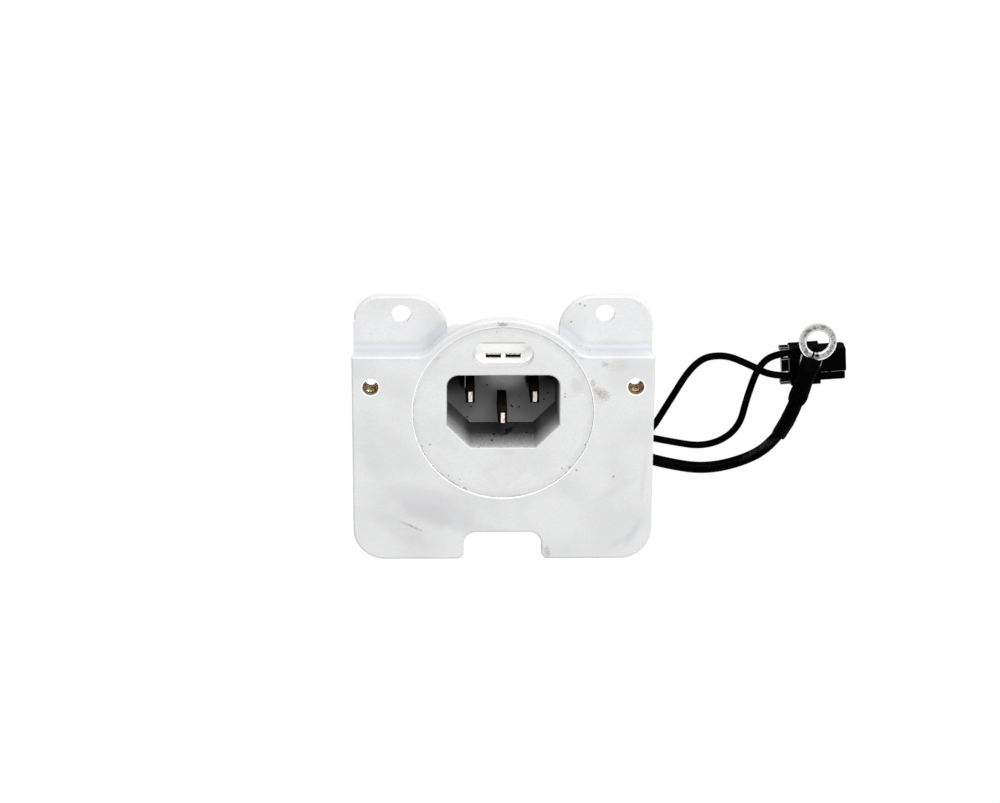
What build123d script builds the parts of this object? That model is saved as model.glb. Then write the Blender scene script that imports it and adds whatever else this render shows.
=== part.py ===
"""Panel power socket on a moulded mounting bracket, with its short leads.

The socket lies on its back: the rear rim of the inlet body rests on Z = 0 and the face looks up.
X runs to the right across the face and Y towards the mounting ears.  The origin is the socket's
axis at the rest plane.  All sizes are in millimetres and degrees.
"""
from build123d import *
import os
from math import cos, hypot, radians, sin, sqrt, tan

os.makedirs("parts", exist_ok=True)

# Heights of the whole socket
face_height = 30.0
fit_gap = 0.05
seat_gap = 0.05

# Mounting bracket: a moulded sheet, stepped back to two ears
sheet = 2.0
plate_width = 65.0
plate_bottom = 33.75
plate_top = 12.9
plate_corner = 7.0
front_edge = 0.5
notch_width = 17.0
notch_height = 6.25
notch_inner_corner = 2.8
notch_outer_corner = 1.5
collar_wall = 1.6
step_drop = 5.2
step_corner = 4.0
step_foot = 1.4
ear_inset = 0.35
ear_width = 20.15
ear_top = 24.85
ear_outer_corner = 6.0
ear_inner_corner = 8.0
ear_edge = 0.4
ear_hole_margin = 10.6
ear_hole_height = 20.8
ear_hole_radius = 2.1
seat_edge = 0.2
seat_ledge = 1.5
seat_ledge_thickness = 1.5
rib_thickness = 1.2
rib_depth = 3.0
rib_spacing = 26.0
cross_rib_height = 25.0
rib_margin = 3.0

# Threaded inserts in the plate
insert_margin = 4.0
insert_height = 6.0
insert_radius = 2.1
insert_thread_radius = 1.5
insert_length = 4.3
insert_groove = 0.25
insert_hole_radius = 1.75
insert_recess = 1.5
boss_wall = 1.1
boss_floor = 0.4

# Inlet body: a round flange, the socket's cavity and the terminal chamber behind it
flange_margin = 2.8
disc_thickness = 2.2
disc_recess = 0.3
disc_edge = 0.25
cavity_width = 24.3
cavity_top = 8.55
cavity_bottom = 7.9
cavity_depth = 16.0
cavity_corner = 2.6
cavity_chamfer = 5.1
cavity_soft = 0.8
cavity_draft = 1.0
cavity_lip = 0.35
shroud_wall = 2.0
back_wall = 2.0
exit_width = 9.4
exit_margin = 2.5
exit_centre = -0.8
exit_corner = 1.5
hook_angles = (0, 180, 238, 302)
hook_width = 4.0
hook_thickness = 1.3
hook_barb = 0.7
hook_length = 2.5

# Contact pins of the inlet
pin_width = 2.0
pin_height = 4.0
pin_spacing = 14.0
pin_line = 1.8
earth_line = -2.2
pin_setback = 5.9
earth_setback = 3.5
tip_width = 0.85
tip_height = 2.3
tip_length = 1.9
tail_drop = 4.5
tail_thickness = 0.8
tail_width = 2.8
tail_bend = 1.2
live_tail_reach = 4.0
neutral_tail_reach = 3.8
earth_tail_reach = 4.0

# Auxiliary socket above the cavity
aux_width = 13.1
aux_height = 5.7
aux_line = 13.25
aux_recess = 3.0
aux_body_depth = 8.5
aux_wall = 1.2
aux_floor = 1.4
aux_pitch = 4.25
aux_slot_line = 12.0
aux_slot_width = 3.3
aux_slot_height = 1.5
aux_contact_thickness = 0.35
aux_contact_width = 2.9
aux_contact_setback = 0.15
aux_tail_length = 2.6
aux_tail_width = 1.2

# Leads: diameters and the runs that they follow
thin_lead_radius = 0.8
earth_lead_radius = 1.3
run_share = 0.45

# Heat-shrink sleeves on the soldered tails
sleeve_wall = 0.3
sleeve_cone = 1.4
sleeve_over_lead = 1.2

# Ring terminal on the earth lead, with its two sleeves
ring_radius = 4.2
ring_hole_radius = 2.6
ring_sheet = 0.8
ring_drop = 0.7
ring_reach = 11.6
ring_split = 0.5
tongue_width = 3.6
barrel_radius = 1.5
barrel_bore = 1.0
barrel_length = 6.2
sleeve_end_radius = 2.2
sleeve_waist_radius = 1.9
sleeve_mouth_width = 5.2
sleeve_mouth_height = 1.9
sleeve_end = 14.6
undersleeve_radius = 1.6
undersleeve_length = 5.8

# Two-way plug on the thin leads
plug_centre = (71.05, 2.16)
plug_turn = 4.0
plug_length = 12.3
plug_width = 8.7
plug_nose_width = 7.3
plug_shoulder = 6.75
plug_step_width = 2.0
plug_step_depth = 0.5
plug_height = 4.5
plug_nose = 0.25
plug_nose_margin = 0.1
plug_pitch = 5.6
plug_edge = 0.25
rail_length = 2.2
rail_width = 0.6
rail_height = 2.0
contact_box_width = 1.2
contact_box_height = 2.0
contact_wall = 0.25
contact_length = 6.5
contact_setback = 0.8
crimp_radius = 0.95
crimp_bore = 0.6
crimp_length = 3.0
lock_width = 3.0
lock_thickness = 1.3
lock_overhang = 1.9
lock_tongue = 4.0

# Places worked out from the sizes above
front = Plane.XY.offset(face_height)
disc_face_height = face_height - disc_recess
disc_back_height = disc_face_height - disc_thickness
ear_side = plate_width / 2 - ear_inset
ear_inner = ear_side - ear_width
ear_height = ear_top - plate_top + sheet
ear_hole_spacing = plate_width - 2 * ear_hole_margin
insert_spacing = plate_width - 2 * insert_margin
disc_radius = hypot((aux_width - aux_height) / 2, aux_line) + aux_height / 2 + flange_margin
disc_hole_radius = disc_radius + seat_gap
collar_radius = disc_hole_radius + collar_wall
ear_face_height = face_height - step_drop
ear_back_height = ear_face_height - sheet
ledge_back_height = disc_back_height - seat_ledge_thickness
cavity_floor_height = face_height - cavity_depth
chamber_height = cavity_floor_height - back_wall
tail_height = chamber_height - tail_drop
exit_height = tail_height + exit_margin
notch_top = notch_height - plate_bottom
sleeve_over_tail = neutral_tail_reach - tail_bend - tail_thickness / 2
sleeve_start = sqrt(ring_radius ** 2 - (tongue_width / 2 + fit_gap) ** 2) + fit_gap
slack = 1.0


def mirrored_pair(spacing, height):
    """The two places, left and right of the socket's axis, that are spacing apart."""
    return ((-spacing / 2, height), (spacing / 2, height))


def cavity_outline(plane, grow=0.0):
    """The socket's outline, square at the top and cut off at the two bottom corners."""
    side = cavity_width / 2
    with BuildSketch(plane) as outline:
        with BuildLine():
            Polyline((-side, cavity_top), (side, cavity_top),
                     (side, cavity_chamfer - cavity_bottom), (side - cavity_chamfer, -cavity_bottom),
                     (cavity_chamfer - side, -cavity_bottom), (-side, cavity_chamfer - cavity_bottom),
                     close=True)
        make_face()
        rows = outline.vertices().group_by(Axis.Y)
        fillet(rows[-1], cavity_corner)
        fillet(outline.vertices().group_by(Axis.Y)[0], cavity_soft)
        if grow:
            offset(amount=grow)
    return outline.sketch


def aux_outline(plane, grow=0.0):
    """The auxiliary socket's long round-ended outline."""
    with BuildSketch(plane) as outline:
        with Locations((0, aux_line)):
            SlotOverall(aux_width + 2 * grow, aux_height + 2 * grow)
    return outline.sketch


def front_outline(grow=0.0):
    """The bracket's front: the plate with its bottom notch, and the collar standing above it."""
    with BuildSketch(front) as outline:
        with Locations((0, (plate_top - plate_bottom) / 2)):
            Rectangle(plate_width, plate_top + plate_bottom)
        Circle(collar_radius)
        inner = outline.vertices().filter_by(lambda v: abs(v.Y - plate_top) < fit_gap)
        fillet(inner.sort_by(lambda v: abs(v.X))[:2], step_corner)
        with Locations((0, notch_top - notch_height / 2)):
            Rectangle(notch_width, notch_height, mode=Mode.SUBTRACT)
        lower = outline.vertices().group_by(Axis.Y)[0].sort_by(lambda v: abs(v.X))
        fillet(lower[2:], plate_corner)
        lips = outline.vertices().group_by(Axis.Y)[0].sort_by(lambda v: abs(v.X))
        fillet(lips[:2], notch_outer_corner)
        roof = outline.vertices().filter_by(lambda v: abs(v.Y - notch_top) < fit_gap)
        fillet(roof, notch_inner_corner)
        if grow:
            offset(amount=grow)
    return outline.sketch


def ear_outline():
    """The two mounting ears: round-cornered tongues that start under the plate's upper edge."""
    with BuildSketch() as outline:
        with Locations(*mirrored_pair(ear_inner + ear_side, ear_top - ear_height / 2)):
            Rectangle(ear_width, ear_height)
        corners = outline.vertices().group_by(Axis.Y)[-1].sort_by(lambda v: abs(v.X))
        fillet(corners[:2], ear_inner_corner)
        corners = outline.vertices().group_by(Axis.Y)[-1].sort_by(lambda v: abs(v.X))
        fillet(corners[-2:], ear_outer_corner)
    return outline.sketch


# Bracket, moulded in one piece
with BuildPart() as mounting_bracket:
    extrude(front_outline(), amount=-sheet)

    # Step: the outline's edge carried down to a wide shelf, hollow along its foot
    shelf_centre = (0, ear_top - ear_height / 2)
    with BuildSketch(front.offset(-sheet / 2)):
        add(front_outline().moved(Location((0, 0, -sheet / 2))))
        add(front_outline(-sheet).moved(Location((0, 0, -sheet / 2))), mode=Mode.SUBTRACT)
        with Locations(shelf_centre):
            Rectangle(2 * ear_side, ear_height, mode=Mode.INTERSECT)
    extrude(amount=ear_back_height - face_height + sheet / 2)
    with BuildSketch(Plane.XY.offset(ear_face_height)):
        with Locations(shelf_centre):
            Rectangle(2 * ear_side, ear_height)
        add(front_outline(-sheet).moved(Location((0, 0, -step_drop))), mode=Mode.SUBTRACT)
    extrude(amount=-sheet)
    shelf = mounting_bracket.faces().filter_by(
        lambda f: f.geom_type == GeomType.PLANE and abs(f.center().Z - ear_face_height) < fit_gap)
    fillet(shelf.edges().filter_by(
        lambda e: e.center().Y < ear_top - slack and abs(e.center().X) < ear_side - slack), step_foot)

    # Ears: the shelf is cut away around two rounded tongues, bevelled along their free edge
    with BuildSketch(front.offset(-sheet)):
        with Locations(shelf_centre):
            Rectangle(plate_width, ear_height + slack)
        add(ear_outline(), mode=Mode.SUBTRACT)
    extrude(amount=ear_back_height - face_height, mode=Mode.SUBTRACT)
    bevel_foot = ear_hole_height - ear_hole_radius / 2
    with BuildSketch(Plane.XY.offset(ear_face_height - ear_edge)):
        with Locations(*mirrored_pair(ear_inner + ear_side, (ear_top + slack + bevel_foot) / 2)):
            Rectangle(ear_width + 2 * slack, ear_top + slack - bevel_foot)
        add(ear_outline(), mode=Mode.SUBTRACT)
    extrude(amount=ear_edge, taper=-45, mode=Mode.SUBTRACT)

    # Seat of the round inlet body, bosses of the inserts and stiffening ribs
    with BuildSketch(front.offset(-sheet / 2)):
        Circle(collar_radius - front_edge)
    extrude(amount=ledge_back_height - face_height + sheet / 2)
    boss_depth = insert_recess + insert_length + boss_floor
    with BuildSketch(front.offset(-sheet / 2)):
        with Locations(*mirrored_pair(insert_spacing, insert_height)):
            Circle(insert_radius + boss_wall)
    extrude(amount=sheet / 2 - boss_depth)
    with BuildSketch(front.offset(-sheet / 2)):
        with Locations(*mirrored_pair((insert_spacing / 2 + disc_radius), insert_height)):
            Rectangle(insert_spacing / 2 - disc_radius, rib_thickness)
        rib_low = rib_margin - plate_bottom
        with Locations(*mirrored_pair(rib_spacing, (rib_low - disc_radius + rib_margin) / 2)):
            Rectangle(rib_thickness, -disc_radius + rib_margin - rib_low)
        with Locations((0, -cross_rib_height)):
            Rectangle(plate_width - 2 * rib_margin, rib_thickness)
    extrude(amount=-sheet / 2 - rib_depth)

    # Round hole with a ledge that the flange sits on
    with BuildSketch(front):
        Circle(disc_hole_radius)
    extrude(amount=disc_back_height - face_height, mode=Mode.SUBTRACT)
    with BuildSketch(front):
        Circle(disc_hole_radius - seat_ledge)
    extrude(amount=-face_height, mode=Mode.SUBTRACT)
    with BuildSketch(Plane.XY.offset(ledge_back_height)):
        Circle(collar_radius - sheet)
    extrude(amount=-face_height, mode=Mode.SUBTRACT)

    # Holes through the ears, and stepped holes for the inserts
    with BuildSketch(Plane.XY.offset(ear_face_height)):
        with Locations(*mirrored_pair(ear_hole_spacing, ear_hole_height)):
            Circle(ear_hole_radius)
    extrude(amount=-sheet, mode=Mode.SUBTRACT)
    with BuildSketch(front):
        with Locations(*mirrored_pair(insert_spacing, insert_height)):
            Circle(insert_hole_radius)
    extrude(amount=-boss_depth, mode=Mode.SUBTRACT)
    with BuildSketch(front.offset(-insert_recess)):
        with Locations(*mirrored_pair(insert_spacing, insert_height)):
            Circle(insert_radius)
    extrude(amount=-boss_depth, mode=Mode.SUBTRACT)

    # Soft edges along the face and round the seat
    fillet(mounting_bracket.faces().sort_by(Axis.Z)[-1].outer_wire().edges(), front_edge)
    openings = mounting_bracket.faces().sort_by(Axis.Z)[-1].inner_wires()
    fillet(openings.sort_by(lambda w: w.length)[-1].edges(), seat_edge)

# Threaded inserts, pressed into the bosses from behind
with BuildPart() as threaded_insert:
    with BuildSketch(front.offset(-insert_recess)):
        Circle(insert_radius - fit_gap)
    extrude(amount=-insert_length)
    grooves = (-insert_recess - insert_length / 3, -insert_recess - 2 * insert_length / 3)
    for groove in grooves:
        with BuildSketch(front.offset(groove + insert_groove)):
            Circle(insert_radius)
            Circle(insert_radius - insert_groove, mode=Mode.SUBTRACT)
        extrude(amount=-2 * insert_groove, mode=Mode.SUBTRACT)
    with BuildSketch(front):
        Circle(insert_thread_radius)
    extrude(amount=-face_height, mode=Mode.SUBTRACT)

# Inlet body, moulded in one piece: flange, cavity, terminal chamber and auxiliary housing
with BuildPart() as inlet_body:
    with BuildSketch(Plane.XY.offset(disc_face_height)):
        Circle(disc_radius)
    extrude(amount=-disc_thickness)
    extrude(cavity_outline(Plane.XY.offset(disc_back_height), shroud_wall), amount=-disc_back_height)
    aux_back_depth = aux_recess + aux_body_depth + aux_floor
    aux_back_height = face_height - aux_back_depth
    extrude(aux_outline(Plane.XY.offset(disc_back_height), aux_wall),
            amount=aux_back_height - disc_back_height)

    # Snap hooks that catch behind the bracket's ledge
    hook_reach = disc_hole_radius - seat_ledge - seat_gap
    hook_outer = sqrt(hook_reach ** 2 - (hook_width / 2) ** 2)
    hook_top = ledge_back_height - seat_gap
    for angle in hook_angles:
        with BuildSketch(Plane.XZ.rotated((0, 0, angle))):
            with BuildLine():
                Polyline((hook_outer - hook_thickness, disc_back_height),
                         (hook_outer, disc_back_height), (hook_outer, hook_top),
                         (hook_outer + hook_barb, hook_top), (hook_outer, hook_top - hook_length),
                         (hook_outer - hook_thickness, hook_top - hook_length), close=True)
            make_face()
        extrude(amount=hook_width / 2, both=True)

    # Cavity with its draft, and the chamber for the terminals
    face_plane = Plane.XY.offset(disc_face_height)
    extrude(cavity_outline(face_plane), amount=cavity_floor_height - disc_face_height,
            taper=cavity_draft, mode=Mode.SUBTRACT)
    draft_loss = cavity_depth * tan(radians(cavity_draft))
    extrude(cavity_outline(Plane.XY, -draft_loss), amount=chamber_height, mode=Mode.SUBTRACT)

    # Auxiliary recess and the pocket of its insert, with two slots for the contacts' tails
    extrude(aux_outline(face_plane), amount=disc_recess - aux_recess - aux_body_depth,
            mode=Mode.SUBTRACT)
    with BuildSketch(Plane.XY.offset(aux_back_height)):
        aux_contact_line = aux_slot_line + (aux_slot_height - aux_contact_thickness) / 2
        with Locations(*mirrored_pair(aux_pitch, aux_contact_line)):
            Rectangle(aux_tail_width + 2 * fit_gap, aux_contact_thickness + 2 * fit_gap)
    extrude(amount=aux_floor, mode=Mode.SUBTRACT)

    # Slots for the pins through the back wall
    with BuildSketch(Plane.XY.offset(chamber_height)):
        with Locations(*mirrored_pair(pin_spacing, pin_line), (0, earth_line)):
            Rectangle(pin_width + 2 * fit_gap, pin_height + 2 * fit_gap)
    extrude(amount=back_wall, mode=Mode.SUBTRACT)

    # Exit for the leads through the right wall
    with BuildSketch(Plane.YZ.offset(cavity_width / 2 - shroud_wall)) as lead_exit:
        with Locations((exit_centre, 0)):
            Rectangle(exit_width, 2 * exit_height)
        fillet(lead_exit.vertices().group_by(Axis.Y)[-1], exit_corner)
    extrude(amount=3 * shroud_wall, mode=Mode.SUBTRACT)

    rim = inlet_body.edges().filter_by(GeomType.CIRCLE).group_by(Axis.Z)[-1].sort_by(SortBy.RADIUS)
    fillet(rim[-1], disc_edge)
    mouth = inlet_body.faces().sort_by(Axis.Z)[-1].inner_wires()
    fillet(mouth.sort_by(lambda w: w.length)[-1].edges(), cavity_lip)


def contact_pin(place, setback, reach):
    """One flat pin with a tapered tip, and its tail bent over towards the lead exit."""
    with BuildPart() as pin:
        tip = face_height - setback
        blade_top = Plane.XY.offset(tip - tip_length)
        with BuildSketch(Plane.XY.offset(chamber_height)):
            with Locations(place):
                Rectangle(pin_width, pin_height)
        extrude(amount=tip - tip_length - chamber_height)
        with BuildSketch(blade_top):
            with Locations(place):
                Rectangle(pin_width, pin_height)
        with BuildSketch(Plane.XY.offset(tip)):
            with Locations(place):
                Rectangle(tip_width, tip_height)
        loft()
        half = tail_thickness / 2
        bend = tail_bend + half
        with BuildLine(Plane.XZ.offset(-place[1])) as tail_route:
            FilletPolyline((place[0], chamber_height), (place[0], tail_height),
                           (place[0] + reach, tail_height), radius=bend)
        with BuildSketch(Plane.XY.offset(chamber_height)):
            with Locations(place):
                Rectangle(tail_thickness, tail_width)
        sweep(path=tail_route.wire())
    return pin.part


live_place, neutral_place = mirrored_pair(pin_spacing, pin_line)
earth_place = (0, earth_line)
live_pin = contact_pin(live_place, pin_setback, live_tail_reach)
neutral_pin = contact_pin(neutral_place, pin_setback, neutral_tail_reach)
earth_pin = contact_pin(earth_place, earth_setback, earth_tail_reach)

# Auxiliary insert with its two contacts
with BuildPart() as auxiliary_insert:
    aux_face_height = face_height - aux_recess
    extrude(aux_outline(Plane.XY.offset(aux_face_height), -fit_gap), amount=-aux_body_depth)
    with BuildSketch(Plane.XY.offset(aux_face_height)):
        with Locations(*mirrored_pair(aux_pitch, aux_slot_line)):
            Rectangle(aux_slot_width, aux_slot_height)
    extrude(amount=-aux_body_depth + aux_floor, mode=Mode.SUBTRACT)
    with BuildSketch(Plane.XY.offset(aux_face_height)):
        with Locations(*mirrored_pair(aux_pitch, aux_contact_line)):
            Rectangle(aux_tail_width + 2 * fit_gap, aux_contact_thickness + 2 * fit_gap)
    extrude(amount=-aux_body_depth, mode=Mode.SUBTRACT)


def auxiliary_contact(place):
    """A thin blade along the slot's upper wall, with a tail through the housing's floor."""
    with BuildPart() as contact:
        blade_height = face_height - aux_recess - aux_contact_setback
        blade_foot = face_height - aux_recess - aux_body_depth + aux_floor
        with BuildSketch(Plane.XY.offset(blade_height)):
            with Locations(place):
                Rectangle(aux_contact_width, aux_contact_thickness)
        extrude(amount=blade_foot - blade_height)
        with BuildSketch(Plane.XY.offset(blade_foot)):
            with Locations(place):
                Rectangle(aux_tail_width, aux_contact_thickness)
        extrude(amount=aux_back_height - aux_tail_length - blade_foot)
    return contact.part


aux_left_place, aux_right_place = mirrored_pair(aux_pitch, aux_contact_line)


def tail_sleeve(place, reach, lead_radius):
    """Heat-shrink over a bent tail and the start of its lead, drawn down onto the lead."""
    inner = tail_width / 2 + 2 * fit_gap
    neck = lead_radius + fit_gap
    start = reach - sleeve_over_tail
    cone = reach + sleeve_cone
    end = cone + sleeve_over_lead
    tail_centre = (*place, tail_height)
    with BuildPart() as sleeve:
        with BuildSketch(Plane(origin=tail_centre, x_dir=(1, 0, 0), z_dir=(0, -1, 0))):
            with BuildLine():
                Polyline((start, inner), (reach, inner), (cone, neck), (end, neck),
                         (end, neck + sleeve_wall), (cone, neck + sleeve_wall),
                         (reach, inner + sleeve_wall), (start, inner + sleeve_wall), close=True)
            make_face()
        revolve(axis=Axis(tail_centre, (1, 0, 0)))
    return sleeve.part


# Routes of the leads, from the tails out to the plug and the ring terminal
live_route = [
    (live_place[0] + live_tail_reach, pin_line, tail_height), (2.2, pin_line, tail_height),
    (7.5, -1.6, 2.4), (14.6, -3.4, 1.6), (22.0, -11.0, 0.8), (29.3, -15.2, 0.8), (37.5, -17.0, 0.8),
    (47.0, -18.7, 0.8), (54.2, -14.6, 0.8), (56.0, -6.0, 0.8), (58.5, 1.4, 0.8),
    (62.176, 4.346, 2.25), (66.964, 4.681, 2.25),
]
neutral_route = [
    (neutral_place[0] + neutral_tail_reach, pin_line, tail_height), (17.0, pin_line, tail_height),
    (22.4, -6.3, 5.4), (26.5, -14.8, 2.8), (33.4, -15.2, 2.8), (37.6, -8.4, 1.6), (43.9, 2.3, 0.8),
    (50.2, 3.7, 0.8), (55.8, 2.0, 3.2), (61.469, -1.317, 2.25), (67.355, -0.905, 2.25),
]
earth_route = [
    (earth_place[0] + earth_tail_reach, earth_line, tail_height), (12.8, earth_line, tail_height),
    (20.5, -12.0, 5.0), (28.5, -19.0, 2.4), (37.5, -22.3, 1.3), (47.5, -23.9, 1.3),
    (58.0, -20.8, 1.3), (62.9, -15.8, 2.1), (65.4, -8.3, 7.0), (67.14, -2.92, 6.71),
]


def corner_radii(route):
    """Largest even bend at each corner: its arc takes run_share of the shorter run beside it."""
    radii = []
    for before, corner, after in zip(route, route[1:], route[2:]):
        arriving, leaving = Vector(*corner) - Vector(*before), Vector(*after) - Vector(*corner)
        half_turn = radians(arriving.get_angle(leaving)) / 2
        radii.append(run_share * min(arriving.length, leaving.length) / tan(half_turn))
    return radii


def swept_tube(route, radii, outer, bore=0.0):
    """A round tube, or a solid round lead, along straight runs joined by arcs."""
    with BuildPart() as tube:
        with BuildLine():
            path = FilletPolyline(*route, radius=radii)
        with BuildSketch(Plane(origin=path @ 0, z_dir=path % 0)):
            Circle(outer)
            if bore:
                Circle(bore, mode=Mode.SUBTRACT)
        sweep(path=path)
    return tube.part, path.length


leads = {
    "live_lead": (live_route, thin_lead_radius),
    "neutral_lead": (neutral_route, thin_lead_radius),
    "earth_lead": (earth_route, earth_lead_radius),
}

# Ring terminal and its sleeves, on the axis of the earth lead's last run
barrel_end, last_corner = Vector(*earth_route[-1]), Vector(*earth_route[-2])
ring_axis = (barrel_end - last_corner).normalized()
ring_across = Vector(0, 0, 1).cross(ring_axis).normalized()
ring_station = barrel_end + ring_axis * ring_reach


def across_axis(distance):
    """The plane square to the ring terminal's axis, this far from the ring towards the lead."""
    return Plane(origin=ring_station - ring_axis * distance, x_dir=ring_across, z_dir=ring_axis)


barrel_front = ring_reach - barrel_length
round_start = barrel_front + barrel_radius


def terminal_neck(grow=0.0):
    """The length in which the ring terminal's flat tongue turns into its round barrel."""
    with BuildPart() as neck:
        with BuildSketch(across_axis(barrel_front)):
            with Locations((0, -ring_drop)):
                Rectangle(tongue_width + 2 * grow, ring_sheet + 2 * grow)
        with BuildSketch(across_axis(round_start)):
            Circle(barrel_radius + grow)
        loft()
    return neck.part


neck = terminal_neck()
neck_bore = terminal_neck(fit_gap)

with BuildPart() as ring_terminal:
    flat = Plane(origin=ring_station, x_dir=-ring_axis, z_dir=ring_axis.cross(ring_across))
    with BuildSketch(flat.offset(-ring_drop - ring_sheet / 2)):
        Circle(ring_radius)
        with Locations((barrel_front / 2, 0)):
            Rectangle(barrel_front, tongue_width)
        Circle(ring_hole_radius, mode=Mode.SUBTRACT)
        with Locations((sleeve_start / 2, 0)):
            Rectangle(sleeve_start, ring_split, mode=Mode.SUBTRACT)
    extrude(amount=ring_sheet)
    add(neck)
    with BuildSketch(across_axis(round_start)):
        Circle(barrel_radius)
    extrude(amount=round_start - ring_reach)
    with BuildSketch(across_axis(ring_reach)):
        Circle(barrel_bore)
    extrude(amount=barrel_length - 2 * barrel_radius, mode=Mode.SUBTRACT)

with BuildPart() as ring_sleeve:
    waist = (sleeve_start + sleeve_end) / 2
    shoulder = (sleeve_start + waist) / 2
    with BuildSketch(across_axis(sleeve_end)):
        Circle(sleeve_end_radius)
    with BuildSketch(across_axis(waist)):
        Circle(sleeve_waist_radius)
    with BuildSketch(across_axis(shoulder)):
        Ellipse((sleeve_waist_radius + sleeve_mouth_width / 2) / 2, sleeve_waist_radius)
    with BuildSketch(across_axis(sleeve_start)):
        with Locations((0, -ring_drop)):
            Ellipse(sleeve_mouth_width / 2, sleeve_mouth_height / 2)
    loft(ruled=True)
    with BuildSketch(across_axis(sleeve_end)):
        Circle(sleeve_end_radius - sleeve_wall)
    with BuildSketch(across_axis(waist)):
        Circle(barrel_radius + fit_gap)
    loft(mode=Mode.SUBTRACT)
    with BuildSketch(across_axis(waist)):
        Circle(barrel_radius + fit_gap)
    extrude(amount=waist - round_start, mode=Mode.SUBTRACT)
    add(neck_bore, mode=Mode.SUBTRACT)
    with BuildSketch(across_axis(barrel_front)):
        with Locations((0, -ring_drop)):
            Rectangle(tongue_width + 2 * fit_gap, ring_sheet + 2 * fit_gap)
    extrude(amount=barrel_front - sleeve_start, mode=Mode.SUBTRACT)

# Narrow sleeve under the ring terminal's, round the lead where it rises from the table
lead_rise = Vector(*earth_route[-3]) - last_corner
undersleeve_route = [
    tuple(ring_station - ring_axis * (sleeve_end + fit_gap)),
    earth_route[-2],
    tuple(last_corner + lead_rise.normalized() * undersleeve_length),
]
undersleeve_radii = corner_radii(earth_route)[-1:]

# Two-way plug: housing, contacts and the lock that holds them in
plug_rear = -plug_length / 2
plug_tip = plug_length / 2 + plug_nose
plug_plane = Plane(origin=(*plug_centre, 0),
                   x_dir=(cos(radians(plug_turn)), sin(radians(plug_turn)), 0), z_dir=(0, 0, 1))
contact_height = plug_height / 2
contact_back = plug_tip - contact_setback - contact_length
crimp_back = contact_back - crimp_length
contact_lines = (-plug_pitch / 2, plug_pitch / 2)
contact_spots = [(line, contact_height) for line in contact_lines]


def across_plug(along):
    """The plane across the plug, this far forward of its centre: local X across and Y up."""
    return Plane(origin=plug_plane.from_local_coords((along, 0, 0)), x_dir=plug_plane.y_dir,
                 z_dir=plug_plane.x_dir)


with BuildPart() as plug_housing:
    with BuildSketch(plug_plane) as plug_outline:
        with Locations((plug_rear + plug_shoulder / 2, 0)):
            Rectangle(plug_shoulder, plug_width)
        with Locations((plug_shoulder / 2, 0)):
            Rectangle(plug_length - plug_shoulder, plug_nose_width)
        corners = plug_outline.vertices().group_by(Axis.X)
        fillet(corners[0] + corners[-1], plug_edge)
    extrude(amount=plug_height)
    with BuildSketch(across_plug(plug_length / 2)):
        with Locations(((plug_step_width - plug_nose_margin) / 2, plug_height / 2)):
            Rectangle(plug_nose_width - plug_step_width - plug_nose_margin,
                      plug_height - 2 * plug_nose_margin)
    extrude(amount=plug_nose)

    # Rails that stand back beside the leads, and the step along the nose
    rail_line = (plug_width - rail_width) / 2
    with BuildSketch(across_plug(plug_rear + plug_edge)):
        with Locations((-rail_line, contact_height), (rail_line, contact_height)):
            Rectangle(rail_width, rail_height)
    extrude(amount=-plug_edge - rail_length)
    with BuildSketch(plug_plane.offset(plug_height)):
        with Locations((plug_shoulder / 2, (plug_step_width - plug_nose_width) / 2)):
            Rectangle(plug_length - plug_shoulder, plug_step_width)
    extrude(amount=-plug_step_depth, mode=Mode.SUBTRACT)

    # Chamber and lead entry of each contact
    with BuildSketch(across_plug(plug_tip)):
        with Locations(*contact_spots):
            Rectangle(contact_box_width + 2 * fit_gap, contact_box_height + 2 * fit_gap)
    extrude(amount=contact_back - plug_tip, mode=Mode.SUBTRACT)
    with BuildSketch(across_plug(plug_rear)):
        with Locations(*contact_spots):
            Circle(crimp_radius + fit_gap)
    extrude(amount=contact_back - plug_rear, mode=Mode.SUBTRACT)

    # Slot of the lock
    with BuildSketch(across_plug(plug_rear)):
        with Locations((0, contact_height)):
            Rectangle(lock_width + 2 * fit_gap, lock_thickness + 2 * fit_gap)
    extrude(amount=lock_tongue, mode=Mode.SUBTRACT)

with BuildPart() as plug_lock:
    with BuildSketch(across_plug(plug_rear + lock_tongue - fit_gap)) as lock_section:
        with Locations((0, contact_height)):
            Rectangle(lock_width, lock_thickness)
    extrude(amount=fit_gap - lock_tongue - lock_overhang)
    pull_edges = plug_lock.edges().filter_by(Plane.XY).sort_by(Axis.X)
    chamfer(pull_edges[0], lock_thickness / 4)


def plug_contact(line):
    """A box that takes the mating blade, with a round crimp on the end of the lead."""
    with BuildPart() as contact:
        with BuildSketch(across_plug(contact_back)):
            with Locations((line, contact_height)):
                Rectangle(contact_box_width, contact_box_height)
                Rectangle(contact_box_width - 2 * contact_wall, contact_box_height - 2 * contact_wall,
                          mode=Mode.SUBTRACT)
        extrude(amount=contact_length)
        with BuildSketch(across_plug(crimp_back)):
            with Locations((line, contact_height)):
                Circle(crimp_radius)
                Circle(crimp_bore, mode=Mode.SUBTRACT)
        extrude(amount=crimp_length)
    return contact.part


def finished(part, name):
    """Labels one piece and writes it to its own file."""
    part.label = name
    export_step(part, f"parts/{name}.step")


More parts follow.
